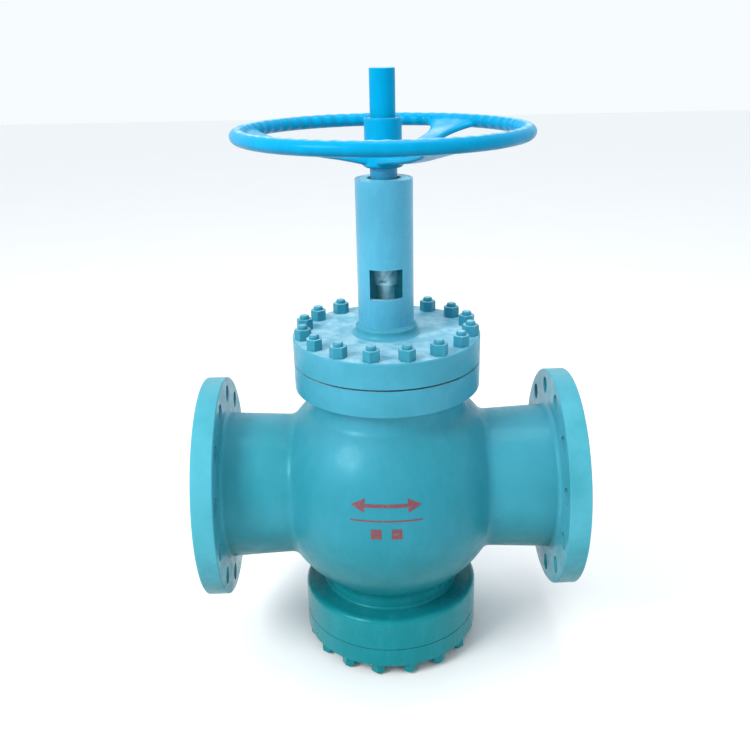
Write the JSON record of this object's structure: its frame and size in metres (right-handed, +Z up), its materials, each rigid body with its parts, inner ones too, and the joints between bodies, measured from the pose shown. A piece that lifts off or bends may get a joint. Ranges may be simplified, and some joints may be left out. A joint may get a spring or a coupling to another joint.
{
  "type": "plug valve",
  "caption": "Flanged lift-type plug valve: a handwheel lifts and turns a tapered plug between two sealing slips in a round-bodied shell.",
  "frame": {"origin": "on the floor under the stem axis, at the lower ends of the bottom cover's studs; the pipe axis is 383 mm up", "axes": "+X along the pipe from inlet to outlet, +Z up along the stem, +Y to the back"},
  "size_m": [0.787, 0.578, 1.24],
  "materials": {
    "shell_enamel": "glossy pale blue enamel over cast steel",
    "yoke_enamel": "satin pale blue enamel over steel tube",
    "wheel_enamel": "bright blue enamel over cast iron",
    "cover_enamel": "bright blue enamel over steel tube",
    "painted_fastener": "enamel painted over zinc plate",
    "machined_steel": "machined",
    "ground_stainless": "ground",
    "plated_plug": "hard plated",
    "ductile_iron": "as cast, machined faces",
    "bearing_steel": "hardened and polished",
    "bronze": "machined",
    "graphite_packing": "pressed graphite",
    "seal_rubber": "moulded"
  },
  "bodies": {
    "valve": {"valve_body": "shell_enamel", "bonnet": "shell_enamel", "bottom_cover": "shell_enamel", "bonnet_gasket": "graphite_packing", "bottom_gasket": "graphite_packing", "bonnet_studs": "painted_fastener", "bonnet_nuts": "painted_fastener", "bottom_studs": "painted_fastener", "bottom_nuts": "painted_fastener", "spacer_sleeve": "machined_steel", "trunnion_bush": "bronze", "stem_bush": "bronze", "packing_rings": "graphite_packing", "gland_follower": "machined_steel", "gland_flange": "yoke_enamel", "gland_studs": "machined_steel", "gland_nuts": "machined_steel", "yoke_tube": "yoke_enamel", "guide_ring": "machined_steel", "guide_pins": "ground_stainless", "bearing_seat": "machined_steel", "lower_fixed_race": "bearing_steel", "upper_fixed_race": "bearing_steel", "bearing_cap": "yoke_enamel", "cap_set_screw": "machined_steel", "wiper_seal": "seal_rubber"},
    "wheel": {"handwheel": "wheel_enamel", "wheel_key": "machined_steel", "wheel_nut": "machined_steel", "stem_nut": "bronze", "stem_cover": "cover_enamel", "lower_turning_race": "bearing_steel", "upper_turning_race": "bearing_steel"},
    "bearing_cages": {"lower_balls": "bearing_steel", "lower_ball_cage": "bronze", "upper_balls": "bearing_steel", "upper_ball_cage": "bronze"},
    "slip_carrier": {"upper_slip_ring": "machined_steel", "lower_slip_ring": "machined_steel"},
    "plug": {"plug": "plated_plug", "stem": "ground_stainless", "stem_pin": "ground_stainless"},
    "inlet_slip": {"inlet_slip": "ductile_iron", "inlet_slip_seal": "seal_rubber"},
    "outlet_slip": {"outlet_slip": "ductile_iron", "outlet_slip_seal": "seal_rubber"}
  },
  "joints": [
    {"name": "handwheel_turn", "type": "hinge", "parent": "valve", "child": "wheel", "pos_m": [0, 0, 1.1256], "axis": [0, 0, 1], "range_deg": [0, 2160]},
    {"name": "cage_turn", "type": "hinge", "parent": "valve", "child": "bearing_cages", "pos_m": [0, 0, 0.983], "axis": [0, 0, 1], "range_deg": [0, 1081]},
    {"name": "plug_turn", "type": "hinge", "parent": "valve", "child": "slip_carrier", "pos_m": [0, 0, 0.383], "axis": [0, 0, 1], "range_deg": [0, 90.01]},
    {"name": "stem_lift", "type": "slide", "parent": "slip_carrier", "child": "plug", "axis": [0, 0, 1], "range_m": [0, 0.04601]},
    {"name": "inlet_slip_retract", "type": "slide", "parent": "slip_carrier", "child": "inlet_slip", "axis": [1, 0, 0], "range_m": [0, 0.0046]},
    {"name": "outlet_slip_retract", "type": "slide", "parent": "slip_carrier", "child": "outlet_slip", "axis": [-1, 0, 0], "range_m": [0, 0.0046]}
  ],
  "couplings": [
    {"joint": "cage_turn", "follows": "handwheel_turn", "ratio": 0.5},
    {"joint": "plug_turn", "follows": "handwheel_turn", "ratio": 0.041667},
    {"joint": "stem_lift", "follows": "handwheel_turn", "m_per_rad": 0.0012202},
    {"joint": "inlet_slip_retract", "follows": "handwheel_turn", "m_per_rad": 0.00012202},
    {"joint": "outlet_slip_retract", "follows": "handwheel_turn", "m_per_rad": 0.00012202}
  ]
}
